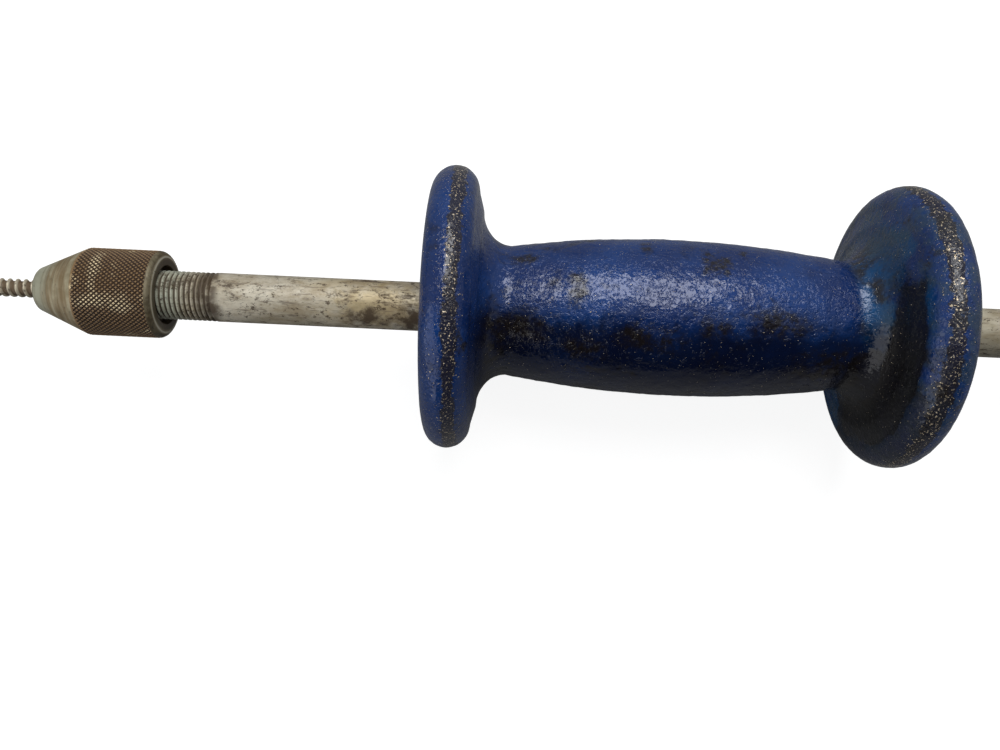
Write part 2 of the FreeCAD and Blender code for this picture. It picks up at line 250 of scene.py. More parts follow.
def weight_outline():
    """From the front bore mouth over both flanges to the rear, and back through the bore."""
    step = 0.6 * MM
    rim = FLANGE_RADIUS - RIM_OUT
    hub = RIM_MIDDLE + RIM_ALONG + FLANGE_DOME
    fillet_end = BARREL_HALF + FILLET_ALONG
    dome_share = np.linspace(0, 1, 40)[:-1]
    dome_out = HUB_RADIUS + dome_share * (rim - HUB_RADIUS)
    dome_along = RIM_MIDDLE + RIM_ALONG + FLANGE_DOME * (1 - dome_share**2) ** 2
    dome = np.stack([dome_along, dome_out], axis=1)[::-1]
    barrel_along = np.linspace(0, BARREL_HALF, round(BARREL_HALF / step))[:-1]
    fall = (BARREL_RADIUS - NECK_RADIUS) * (barrel_along / BARREL_HALF) ** 2
    rear_half = joined(
        np.stack([barrel_along, BARREL_RADIUS - fall], axis=1),
        arc((BARREL_HALF, NECK_RADIUS + FILLET_OUT), FILLET_ALONG, FILLET_OUT, -90, 0, step),
        line((fillet_end, NECK_RADIUS + FILLET_OUT), (RIM_MIDDLE - RIM_ALONG, rim), step),
        arc((RIM_MIDDLE, rim), RIM_ALONG, RIM_OUT, 180, 0, step),
        dome,
        line((hub, HUB_RADIUS - step), (hub, WEIGHT_BORE + BORE_CHAMFER)),
        line((hub, WEIGHT_BORE + BORE_CHAMFER), (hub - BORE_CHAMFER, WEIGHT_BORE)),
    )
    front_half = mirrored(rear_half[1:], 0)
    bore_end = hub - BORE_CHAMFER
    bore = line((bore_end, WEIGHT_BORE), (-bore_end, WEIGHT_BORE), 8 * MM)
    outline = joined(front_half, rear_half, bore)
    outline[:, 0] += WEIGHT_MIDDLE
    return outline


def casting_lumps(along, out, angle):
    """The sand casting's rough skin, a little in and out of the smooth shape."""
    rings, steps = out.shape
    side = -out * np.cos(angle)
    up = out * np.sin(angle)
    lump = np.zeros_like(out)
    for ring in range(rings):
        if out[ring, 0] < WEIGHT_BORE + 0.1 * MM:
            continue
        for step in range(steps):
            place = Vector((along[ring, step], side[ring, step], up[ring, step]))
            lump[ring, step] = sum(high * noise.noise(place * many) for many, high in LUMPS)
    return out + lump, np.zeros_like(out)


def make_weight(material):
    mesh = turned_mesh("weight_casting", weight_outline(), 400, True, casting_lumps)
    add_piece("weight_casting", mesh, "weight", ["slide_weight"], material, 60)


def rod_threads(along, out, angle):
    height = thread_height(along, angle, THREAD_PITCH)
    rear_start = ROD_REAR - REAR_THREAD_LENGTH
    front = 1 - smooth_step(along, FRONT_THREAD_END - 1.3 * THREAD_PITCH, FRONT_THREAD_END)
    rear = smooth_step(along, rear_start, rear_start + 1.3 * THREAD_PITCH)
    threaded = np.maximum(front, rear)
    cut = THREAD_DEPTH * (1 - height) * threaded
    limit = THREAD_RADIUS + (ROD_RADIUS - THREAD_RADIUS) * (1 - threaded)
    return np.minimum(out, limit - cut), 1 - (1 - height) * threaded


def make_rod(material):
    fine = THREAD_PITCH / 14
    chamfer = 1 * MM
    tip = THREAD_RADIUS - chamfer
    rear_start = ROD_REAR - REAR_THREAD_LENGTH - 1 * MM
    outline = joined(
        line((ROD_FRONT, tip), (ROD_FRONT + chamfer, ROD_RADIUS), fine),
        line((ROD_FRONT + chamfer, ROD_RADIUS), (FRONT_THREAD_END + 1 * MM, ROD_RADIUS), fine),
        line((FRONT_THREAD_END + 1 * MM, ROD_RADIUS), (rear_start, ROD_RADIUS), 4 * MM),
        line((rear_start, ROD_RADIUS), (ROD_REAR - chamfer, ROD_RADIUS), fine),
        line((ROD_REAR - chamfer, ROD_RADIUS), (ROD_REAR, tip), fine),
        [(ROD_REAR, tip)],
    )
    mesh = turned_mesh("rod_bar", outline, 112, False, rod_threads)
    add_piece("rod_bar", mesh, "rod", ["pull_rod"], material, 50)


def nose_details(along, out, angle):
    """The diamond knurl on the outside and the thread in the bore."""
    share = KNURLS_ROUND * angle / TURN
    one_way = np.abs(2 * np.mod(share + along / KNURL_PITCH, 1) - 1)
    other_way = np.abs(2 * np.mod(share - along / KNURL_PITCH, 1) - 1)
    diamond = np.clip(np.minimum(1 - one_way, 1 - other_way) / KNURL_FLANK, 0, 1)
    knurled = NOSE_RADIUS - KNURL_DEPTH * (1 - diamond)
    outside = out > NOSE_COUNTERBORE + 0.1 * MM
    banded = outside & (along > KNURL_START) & (along < KNURL_END)
    plain = np.where(along < KNURL_END, out, np.minimum(out, NOSE_RADIUS - 0.1 * MM))
    outer = np.where(banded, np.minimum(out, knurled), plain)
    height = thread_height(along, angle, THREAD_PITCH)
    inner = THREAD_RADIUS - THREAD_DEPTH * (1 - height) + NOSE_THREAD_GAP
    in_bore = (out < THREAD_RADIUS + 0.2 * MM) & (along > NOSE_FLOOR + 0.1 * MM)
    shaped = np.where(in_bore, inner, outer)
    wear = np.where(outside, 1 - np.clip((out - outer) / KNURL_DEPTH, 0, 1), 0)
    on_knurl = banded & (along > NOSE_CONE_LENGTH - 0.9 * MM)
    return shaped, np.where(on_knurl, wear, 2)


def make_nose(material):
    fine = KNURL_PITCH / 9
    rear_round = NOSE_REAR - NOSE_REAR_ROUND
    rear_flat = NOSE_RADIUS - NOSE_REAR_ROUND
    recess = NOSE_REAR - NOSE_COUNTERBORE_DEPTH
    bore = THREAD_RADIUS + NOSE_THREAD_GAP
    lead_in = bore + NOSE_LEAD_IN
    bend = 0.15 * MM
    tip_flat = NOSE_TIP_RADIUS - NOSE_TIP_ROUND
    hole_edge = 0.2 * MM
    outline = joined(
        line((NOSE_FRONT, NOSE_HOLE_RADIUS + hole_edge), (NOSE_FRONT, tip_flat), 0.6 * MM),
        arc((NOSE_TIP_ROUND, tip_flat), NOSE_TIP_ROUND, NOSE_TIP_ROUND, 180, 112, bend),
        line((NOSE_TIP_ROUND * 0.63, NOSE_TIP_RADIUS - NOSE_TIP_ROUND * 0.07),
             (NOSE_CONE_LENGTH, NOSE_RADIUS), fine),
        line((NOSE_CONE_LENGTH, NOSE_RADIUS), (rear_round, NOSE_RADIUS), fine),
        arc((rear_round, rear_flat), NOSE_REAR_ROUND, NOSE_REAR_ROUND, 90, 0, bend),
        line((NOSE_REAR, rear_flat), (NOSE_REAR, NOSE_COUNTERBORE), 0.6 * MM),
        line((NOSE_REAR, NOSE_COUNTERBORE), (recess, NOSE_COUNTERBORE - 0.1 * MM), 0.5 * MM),
        line((recess, NOSE_COUNTERBORE - 0.1 * MM), (recess, lead_in), 0.3 * MM),
        line((recess, lead_in), (recess - NOSE_LEAD_IN, bore), 0.2 * MM),
        line((recess - NOSE_LEAD_IN, bore), (NOSE_FLOOR, bore), THREAD_PITCH / 12),
        line((NOSE_FLOOR, bore), (NOSE_FLOOR, NOSE_HOLE_RADIUS), 1 * MM),
        line((NOSE_FLOOR, NOSE_HOLE_RADIUS), (NOSE_FRONT + hole_edge, NOSE_HOLE_RADIUS), 1 * MM),
        [(NOSE_FRONT + hole_edge, NOSE_HOLE_RADIUS)],
    )
    mesh = turned_mesh("nose_nut", outline, KNURLS_ROUND * 8, True, nose_details)
    add_piece("nose_nut", mesh, "nose", ["nose_chuck"], material, 50)


def screw_thread(along, out, angle):
    height = thread_height(along, angle, SCREW_PITCH, crest=0.1, root=0.42)
    taper = np.clip((along - SCREW_TIP + 0.4 * MM) / SCREW_POINT, 0, 1)
    threaded = 1 - smooth_step(along, NOSE_FRONT - 0.4 * MM, NOSE_FRONT + 0.4 * MM)
    radius = (SCREW_ROOT + (SCREW_CREST - SCREW_ROOT) * height) * taper
    return out + (radius - out) * threaded, 1 - (1 - height) * threaded


def make_screw(material):
    fine = SCREW_PITCH / 16
    seat = NOSE_FLOOR
    edge = SCREW_COLLAR_EDGE
    collar_back = seat + SCREW_COLLAR
    slope_start = collar_back - SCREW_COLLAR_SLOPE
    slope_end = SCREW_COLLAR_RADIUS - 2 * SCREW_COLLAR_SLOPE
    shank = joined(
        line((SCREW_TIP, 0.3 * MM), (NOSE_FRONT + 1 * MM, SCREW_NECK), fine),
        line((NOSE_FRONT + 1 * MM, SCREW_NECK), (seat, SCREW_NECK), 1 * MM),
        line((seat, SCREW_NECK), (seat, SCREW_COLLAR_RADIUS - edge), 1 * MM),
        line((seat, SCREW_COLLAR_RADIUS - edge), (seat + edge, SCREW_COLLAR_RADIUS)),
        line((seat + edge, SCREW_COLLAR_RADIUS), (slope_start, SCREW_COLLAR_RADIUS)),
        line((slope_start, SCREW_COLLAR_RADIUS), (collar_back, slope_end)),
        [(collar_back, slope_end)],
    )
    mesh = turned_mesh("screw_shank", shank, 64, False, screw_thread)
    add_piece("screw_shank", mesh, "screw", ["pull_screw"], material, 50)


def hexagonal(flats):
    """A shape for turned_mesh that cuts an outline down to a hexagon, with a corner facing -Y."""
    def shape(along, out, angle):
        side = flats / 2 / np.cos(np.mod(angle, TURN / 6) - TURN / 12)
        return np.minimum(out, side), np.ones_like(out)
    return shape


def make_screw_head(material):
    start = NOSE_FLOOR + SCREW_COLLAR
    corner = SCREW_FLATS / math.sqrt(3)
    rim = SCREW_FLATS * 0.47
    outline = joined(
        line((start, corner), (SCREW_BACK - 0.5 * MM, corner), 1 * MM),
        line((SCREW_BACK - 0.5 * MM, corner), (SCREW_BACK, rim), 0.1 * MM),
        line((SCREW_BACK, rim), (SCREW_BACK, 0.5 * MM), 1 * MM),
        [(SCREW_BACK, 0.5 * MM)],
    )
    mesh = turned_mesh("screw_head", outline, 72, False, hexagonal(SCREW_FLATS))
    add_piece("screw_head", mesh, "screw", [], material, 30)


def make_end_nut(material):
    start, end, corner = ends("end_nut")
    face = NUT_FLATS * 0.485
    bore = THREAD_RADIUS + 0.02 * MM
    outline = joined(
        line((start, bore + NUT_LEAD_IN), (start, face), 1 * MM),
        line((start, face), (start + NUT_CHAMFER, corner), 0.12 * MM),
        line((start + NUT_CHAMFER, corner), (end - NUT_CHAMFER, corner), 1.5 * MM),
        line((end - NUT_CHAMFER, corner), (end, face), 0.12 * MM),
        line((end, face), (end, bore + NUT_LEAD_IN), 1 * MM),
        line((end, bore + NUT_LEAD_IN), (end - NUT_LEAD_IN, bore)),
        line((end - NUT_LEAD_IN, bore), (start + NUT_LEAD_IN, bore)),
        line((start + NUT_LEAD_IN, bore), (start, bore + NUT_LEAD_IN)),
    )
    mesh = turned_mesh("nut_hexagon", outline, 144, True, hexagonal(NUT_FLATS))
    add_piece("nut_hexagon", mesh, "rod", ["end_nut"], material, 30)


def make_washer(name, node, material):
    """A stamped washer with rolled-over edges."""
    start, end, radius = ends(node)
    edge = radius - WASHER_ROUND
    outline = joined(
        line((start, WASHER_BORE), (start, edge), 2 * MM),
        arc((start + WASHER_ROUND, edge), WASHER_ROUND, WASHER_ROUND, 180, 90, 0.1 * MM),
        line((start + WASHER_ROUND, radius), (end - WASHER_ROUND, radius), 1 * MM),
        arc((end - WASHER_ROUND, edge), WASHER_ROUND, WASHER_ROUND, 90, 0, 0.1 * MM),
        line((end, edge), (end, WASHER_BORE), 2 * MM),
        line((end, WASHER_BORE), (start, WASHER_BORE), 1 * MM),
    )
    mesh = turned_mesh(name, outline, 96, True)
    add_piece(name, mesh, "rod", [node], material, 50)


def mould_seam(along, out, angle):
    """The low ridge that the mould's two halves leave on the rubber."""
    away = np.abs(np.mod(angle + TURN / 4, TURN / 2) - TURN / 4)
    ridge = SEAM_HEIGHT * np.clip(1 - away / SEAM_HALF_WIDTH, 0, 1)
    on_outside = smooth_step(out, 13 * MM, 14 * MM)
    return out + ridge * on_outside, np.ones_like(out)


def make_sleeve(material):
    start, end, radius = ends("grip_sleeve")
    bore = ends("grip_tube")[2] + 0.02 * MM
    along = np.linspace(start, end, 340)
    from_end = np.minimum(along - start, end - along)
    short = np.clip(SLEEVE_ROUND - from_end, 0, None)
    fall = SLEEVE_ROUND - np.sqrt(SLEEVE_ROUND**2 - short**2)
    run = (SLEEVE_GROOVES - 1) * GROOVE_SPACING
    phase = along - (start + end) / 2 + run / 2
    nearest = np.clip(np.round(phase / GROOVE_SPACING), 0, SLEEVE_GROOVES - 1) * GROOVE_SPACING
    away = np.abs(phase - nearest)
    half_groove = GROOVE_WIDTH / 2
    cut = GROOVE_DEPTH * (1 - smooth_step(away, half_groove - 0.7 * MM, half_groove + 0.5 * MM))
    crown = 0.25 * MM * np.clip(1 - away / (GROOVE_SPACING / 2), 0, 1) ** 2
    outer = np.stack([along, radius - fall - cut - crown], axis=1)
    outline = joined(outer, [(end, bore), (start, bore)])
    mesh = turned_mesh("sleeve_rubber", outline, 120, True, mould_seam)
    add_piece("sleeve_rubber", mesh, "rod", ["grip_sleeve"], material, 60)


# ---------------------------------------------------------------- materials


def tint(red, green, blue):
    """A colour as a screen shows it, 0 to 255, made linear."""
    def linear(level):
        share = level / 255
        return share / 12.92 if share <= 0.04045 else ((share + 0.055) / 1.055) ** 2.4
    return (linear(red), linear(green), linear(blue), 1)


class Finish:
    """A material, with short ways to add nodes to it. Places are the object's own, in metres."""

    def __init__(self, name):
        self.material = bpy.data.materials.new(name)
        self.material.use_nodes = True
        self.tree = self.material.node_tree
        self.shader = self.tree.nodes["Principled BSDF"]
        self.place = self.tree.nodes.new("ShaderNodeTexCoord").outputs["Object"]

    def feed(self, socket, value):
        if isinstance(value, bpy.types.NodeSocket):
            self.tree.links.new(value, socket)
        else:
            socket.default_value = value

    def add(self, kind, inputs, **settings):
        node = self.tree.nodes.new(kind)
        for name, value in settings.items():
            setattr(node, name, value)
        for name, value in inputs.items():
            self.feed(node.inputs[name], value)
        return node

    def math(self, operation, first, second=0.0):
        return self.add("ShaderNodeMath", {0: first, 1: second}, operation=operation).outputs[0]

    def times(self, first, second):
        return self.math("MULTIPLY", first, second)

    def stretched(self, stretch, shift=0.0):
        inputs = {"Vector": self.place, "Scale": stretch, "Location": (shift, shift, shift)}
        return self.add("ShaderNodeMapping", inputs).outputs["Vector"]

    def noise(self, scale, detail=3.0, roughness=0.55, stretch=(1, 1, 1), shift=0.0, twist=0.0):
        """A cloud of values from 0 to 1, with about scale features in a metre."""
        inputs = {"Vector": self.stretched(stretch, shift), "Scale": scale, "Detail": detail,
                  "Roughness": roughness, "Distortion": twist}
        return self.add("ShaderNodeTexNoise", inputs).outputs[0]

    def wobble(self, size, scale, detail=3.0, roughness=0.55, shift=0.0):
        """A cloud about 0, which roughens an edge by up to half of size each way."""
        cloud = self.noise(scale, detail, roughness, shift=shift)
        return self.times(self.math("SUBTRACT", cloud, 0.5), size)

    def rise(self, value, low, high):
        """0 below low, 1 above high, smooth between. With low above high it falls instead."""
        inputs = {"Value": value, "From Min": low, "From Max": high}
        return self.add("ShaderNodeMapRange", inputs, interpolation_type="SMOOTHSTEP").outputs[0]

    def window(self, value, low, high, soft):
        """1 between low and high, 0 outside, with edges soft wide on each side."""
        above = self.rise(value, low - soft, low + soft)
        return self.times(above, self.rise(value, high + soft, high - soft))

    def mix(self, share, first, second):
        inputs = {0: share, 6: first, 7: second}
        return self.add("ShaderNodeMix", inputs, data_type="RGBA").outputs[2]

    def blend(self, share, first, second):
        return self.add("ShaderNodeMix", {0: share, 2: first, 3: second}).outputs[0]

    def sides(self):
        """The place's outputs X along the rod, Y across it and Z up."""
        return self.add("ShaderNodeSeparateXYZ", {"Vector": self.place}).outputs

    def along(self):
        return self.sides()["X"]

    def out(self):
        """The distance from the rod's axis."""
        sides = self.sides()
        flat = self.add("ShaderNodeCombineXYZ", {"Y": sides["Y"], "Z": sides["Z"]}).outputs[0]
        return self.add("ShaderNodeVectorMath", {0: flat}, operation="LENGTH").outputs["Value"]

    def round_rod(self):
        """The angle round the rod, from -Y at 0 up to +Z."""
        sides = self.sides()
        return self.math("ARCTAN2", sides["Z"], self.times(sides["Y"], -1.0))

    def patch(self, middle, size, ragged=0.5, shift=0.0):
        """A soft-edged spot round a place, with a ragged outline."""
        away = self.add("ShaderNodeVectorMath", {0: self.place, 1: middle}, operation="SUBTRACT")
        scaled = self.add("ShaderNodeVectorMath", {0: away.outputs[0], 1: size}, operation="DIVIDE")
        far = self.add("ShaderNodeVectorMath", {0: scaled.outputs[0]}, operation="LENGTH")
        wobble = self.wobble(6 * ragged, 300, 6, 0.7, shift)
        return self.rise(self.math("ADD", far.outputs["Value"], wobble), 1.4, 0.3)

    def largest(self, *values):
        total = values[0]
        for value in values[1:]:
            total = self.math("MAXIMUM", total, value)
        return total

    def bump(self, height, distance, strength=1.0, under=None):
        inputs = {"Height": height, "Distance": distance, "Strength": strength}
        if under is not None:
            inputs["Normal"] = under
        return self.add("ShaderNodeBump", inputs).outputs["Normal"]

    def attribute(self, name):
        return self.add("ShaderNodeAttribute", {}, attribute_name=name).outputs["Fac"]

    def dress(self, colour=None, roughness=None, metallic=None, normal=None):
        names = ("Base Color", "Roughness", "Metallic", "Normal")
        for name, value in zip(names, (colour, roughness, metallic, normal)):
            if value is not None:
                self.feed(self.shader.inputs[name], value)
        return self.material


def on_weight(along, angle, out):
    """A place on the weight: from its middle along the rod, round from -Y towards +Z, and out."""
    turn = math.radians(angle)
    return (WEIGHT_MIDDLE + along * MM, -out * MM * math.cos(turn), out * MM * math.sin(turn))


def paint_grime(finish, from_middle, out, turned):
    """Where old oil and dirt sit on the weight: in clouds, in the corners and in patches. The third
    mask darkens the weight's -Y side.
    """
    half_along = finish.math("ABSOLUTE", from_middle)
    cloud = finish.noise(80, 6, 0.64, shift=0.7, twist=0.4)
    corner = finish.window(half_along, 42 * MM, 48.5 * MM, 2.5 * MM)
    in_corner = finish.times(corner, finish.rise(finish.noise(90, 5, shift=1.7), 0.44, 0.58))
    ragged = finish.wobble(1.5, 130, 5, 0.6, 8.0)
    inner_face = finish.rise(from_middle, 44 * MM, 47 * MM)
    flange = finish.times(finish.window(out, 20.5 * MM, 31 * MM, 2.5 * MM), inner_face)
    flange = finish.times(flange, finish.window(turned, -0.25, 1.55, 0.5))
    flange = finish.rise(finish.math("ADD", flange, ragged), 0.08, 0.5)
    rear_fillet = finish.rise(from_middle, 39 * MM, 45 * MM)
    under = finish.times(rear_fillet, finish.window(turned, -0.6, 0.95, 0.2))
    under = finish.rise(finish.math("ADD", under, ragged), 0.3, 0.65)
    patches = [
        finish.patch(on_weight(-26, 98, 19.5), (2.6 * MM, 5 * MM, 5 * MM), 0.5, 0.1),
        finish.patch(on_weight(22, 78, 19.7), (9 * MM, 4 * MM, 4 * MM), 0.5, 0.2),
        finish.patch(on_weight(-24, 53, 19.5), (5 * MM, 4 * MM, 4 * MM), 0.5, 0.3),
        finish.patch(on_weight(-9, 64, 20), (9 * MM, 3.4 * MM, 3.4 * MM), 0.55, 0.4),
        finish.patch(on_weight(7, 73, 20), (4 * MM, 3 * MM, 3 * MM), 0.5, 0.5),
        finish.patch(on_weight(-9, 138, 20), (2 * MM, 3 * MM, 3 * MM), 0.4, 0.6),
        finish.patch(on_weight(-39, 126, 17.5), (4 * MM, 2.5 * MM, 2.5 * MM), 0.4, 0.7),
        finish.patch(on_weight(-39, 66, 17.5), (7 * MM, 4.5 * MM, 4.5 * MM), 0.4, 0.8),
        finish.patch(on_weight(36, 40, 18), (9 * MM, 6 * MM, 6 * MM), 0.5, 0.9),
    ]
    blotches = finish.rise(finish.noise(48, 4, 0.55, shift=11.0), 0.34, 0.58)
    # Darker paint over the weight's -Y side, from about 34 degrees below level to 73 degrees above
    # it, ragged at the edge and stopping about 50 mm either side of the middle.
    minus_y_darkening = finish.times(finish.window(turned, -0.6, 1.28, 0.2), finish.blend(blotches, 0.85, 1.0))
    minus_y_darkening = finish.times(minus_y_darkening, finish.rise(half_along, 52 * MM, 48 * MM))
    caked = finish.largest(flange, finish.times(under, 0.8))
    caked = finish.times(caked, finish.rise(from_middle, 56 * MM, 53.5 * MM))
    return finish.largest(finish.rise(cloud, 0.585, 0.68), in_corner, *patches), caked, minus_y_darkening


def blue_paint():
    finish = Finish("blue_paint")
    finish.shader.inputs["Coat Weight"].default_value = 1
    finish.shader.inputs["Coat Roughness"].default_value = 0.05
    finish.shader.inputs["Specular IOR Level"].default_value = 0.0
    out = finish.out()
    turned = finish.math("ADD", finish.round_rod(), finish.wobble(1.5, 55, 5, 0.6, 12.0))
    from_middle = finish.math("SUBTRACT", finish.along(), WEIGHT_MIDDLE)
    half_along = finish.math("ABSOLUTE", from_middle)

    # blue enamel, a little uneven, greener on the rear flange
    uneven = finish.rise(finish.noise(60, 3), 0.35, 0.65)
    blue = finish.mix(uneven, tint(13, 42, 96), tint(22, 58, 118))
    inside_rim = finish.rise(out, 34 * MM, 31 * MM)
    teal = finish.times(finish.rise(from_middle, 41 * MM, 44.5 * MM), inside_rim)
    teal = finish.times(teal, finish.rise(finish.noise(60, 3, shift=0.3), 0.4, 0.52))
    blue = finish.mix(teal, blue, tint(6, 64, 110))
    dusty = finish.rise(finish.noise(140, 6, 0.7, shift=2.6), 0.42, 0.6)
    dull = finish.times(finish.rise(from_middle, 45 * MM, 48 * MM), dusty)
    blue = finish.mix(finish.times(dull, 0.55), blue, tint(52, 70, 76))

    grime, caked, minus_y_darkening = paint_grime(finish, from_middle, out, turned)
    # near-black blue over the -Y side, where that mask is set
    blue = finish.mix(finish.times(minus_y_darkening, 0.9), blue, tint(5, 8, 30))
    broken = finish.blend(finish.rise(finish.noise(360, 5, 0.7, shift=9.0), 0.38, 0.56), 0.35, 0.92)
    colour = finish.mix(finish.times(grime, broken), blue, tint(26, 21, 17))
    colour = finish.mix(finish.times(caked, 0.93), colour, tint(20, 16, 11))

    # a ragged dark band where the rims are worn through
    off_crest = finish.math("ABSOLUTE", finish.math("SUBTRACT", half_along, WORN_RING))
    on_rim = finish.rise(out, 33 * MM, 35 * MM)
    worn = finish.rise(finish.noise(70, 4, 0.6, shift=3.3), 0.3, 0.6)
    band = finish.rise(off_crest, finish.blend(worn, 2.0 * MM, 3.7 * MM), 0.5 * MM)
    core = finish.times(band, on_rim)
    ragged = finish.math("ADD", core, finish.wobble(2.2, 420, 5, 0.7))
    bared = finish.times(finish.rise(ragged, 0.5, 0.75), finish.rise(core, 0.0, 0.1))
    colour = finish.mix(finish.times(bared, 0.85), colour, tint(36, 31, 28))

    # small chips down to bright metal, thick on the rims and few elsewhere
    near_rim = finish.times(finish.rise(off_crest, 6.5 * MM, 1 * MM), on_rim)
    some = finish.times(finish.rise(finish.noise(50, 3, shift=5.0), 0.42, 0.7), 0.008)
    rim_chips = finish.times(near_rim, finish.blend(finish.noise(90, 3, shift=6.0), 0.03, 0.1))
    often = finish.math("ADD", finish.math("ADD", some, rim_chips), finish.times(bared, 0.04))
    grain = finish.noise(2000, 2, 0.6, shift=7.0)
    chip = finish.rise(finish.math("ADD", grain, often), 0.715, 0.745)
    bright = finish.mix(finish.noise(500, 2), tint(196, 172, 138), tint(240, 226, 200))
    colour = finish.mix(chip, colour, bright)

    matt = finish.largest(finish.times(grime, 0.7), caked, bared)
    rough = finish.blend(matt, finish.blend(finish.noise(240, 3), 0.35, 0.45), 0.6)
    rough = finish.blend(chip, rough, 0.4)
    metallic = finish.blend(chip, finish.blend(matt, 0.18, 0.0), 0.6)
    peel = finish.math("MINIMUM", finish.noise(1150, 3, 0.6, twist=0.5), 0.51)
    skin = finish.math("ADD", peel, finish.times(finish.noise(420, 2), 0.5))
    # where the -Y side is darkened, the skin's bump is also flattened
    skin = finish.times(skin, finish.blend(minus_y_darkening, 1.0, 0.45))
    normal = finish.bump(skin, 0.36 * MM)
    pores = finish.rise(finish.noise(700, 2, shift=3.1), 0.37, 0.31)
    normal = finish.bump(pores, 0.1 * MM, under=normal)
    normal = finish.bump(chip, 0.04 * MM, under=normal)
    finish.feed(finish.shader.inputs["Coat Normal"], normal)
    return finish.dress(colour, rough, metallic, normal)


def plated_rod():
    finish = Finish("plated_rod")
    along = finish.along()
    wear = finish.attribute("wear")
    cloud = finish.noise(90, 4, stretch=(0.35, 1, 1))
    colour = finish.mix(finish.rise(cloud, 0.35, 0.65), tint(186, 178, 156), tint(213, 205, 186))
    yellow = finish.largest(
        finish.rise(finish.noise(70, 4, stretch=(0.4, 1, 1), shift=2.2), 0.52, 0.7),
        finish.patch((88 * MM, -1 * MM, 6 * MM), (12 * MM, 7 * MM, 7 * MM), 0.4, 1.2),
    )
    colour = finish.mix(finish.times(yellow, 0.6), colour, tint(186, 162, 108))

    greenish = finish.rise(along, 41 * MM, 35 * MM)
    colour = finish.mix(finish.times(greenish, 0.8), colour, tint(206, 211, 192))
    film = finish.rise(finish.noise(150, 7, 0.74, stretch=(0.5, 1, 1), shift=6.5), 0.4, 0.66)
    colour = finish.mix(finish.times(film, 0.62), colour, tint(134, 112, 72))
    blotches = finish.noise(240, 7, 0.76, stretch=(0.4, 1, 1), shift=0.9, twist=0.3)
    stain = finish.rise(blotches, 0.53, 0.63)
    flecks = finish.rise(finish.noise(720, 6, 0.8, stretch=(0.6, 1, 1), shift=4.2), 0.56, 0.61)
    streaks = finish.rise(finish.noise(1300, 3, 0.6, stretch=(0.12, 1, 1), shift=7.7), 0.56, 0.68)
    patchy = finish.rise(finish.noise(260, 5, 0.6), 0.36, 0.56)
    behind_thread = finish.times(finish.window(along, 42 * MM, 47.5 * MM, 1.2 * MM), patchy)
    in_grooves = finish.times(finish.rise(along, 51 * MM, 46.5 * MM), finish.rise(wear, 0.6, 0.15))
    patches = [
        finish.patch((86 * MM, -4.6 * MM, 4.2 * MM), (5 * MM, 2.8 * MM, 2.8 * MM), 0.6, 1.3),
        finish.patch((98 * MM, -4.8 * MM, 3.8 * MM), (4 * MM, 4 * MM, 4 * MM), 0.8, 1.4),
        finish.patch((46 * MM, -4.4 * MM, 4.4 * MM), (3 * MM, 3 * MM, 3 * MM), 0.4, 1.5),
    ]
    dirt = finish.largest(
        finish.times(stain, 0.85), finish.times(flecks, 0.88),
        finish.times(streaks, 0.55),
        finish.times(behind_thread, 0.8), finish.times(in_grooves, 0.9),
        *[finish.times(patch, 0.92) for patch in patches],
    )
    colour = finish.mix(dirt, colour, tint(60, 41, 20))
    rough = finish.blend(dirt, finish.blend(cloud, 0.34, 0.48), 0.7)
    metallic = finish.blend(dirt, 0.22, 0.0)
    scratches = finish.noise(1500, 2, stretch=(0.04, 1, 1))
    relief = finish.math("ADD", finish.noise(500, 4), finish.times(scratches, 0.4))
    normal = finish.bump(relief, 0.04 * MM)
    normal = finish.bump(dirt, 0.03 * MM, under=normal)
    return finish.dress(colour, rough, metallic, normal)


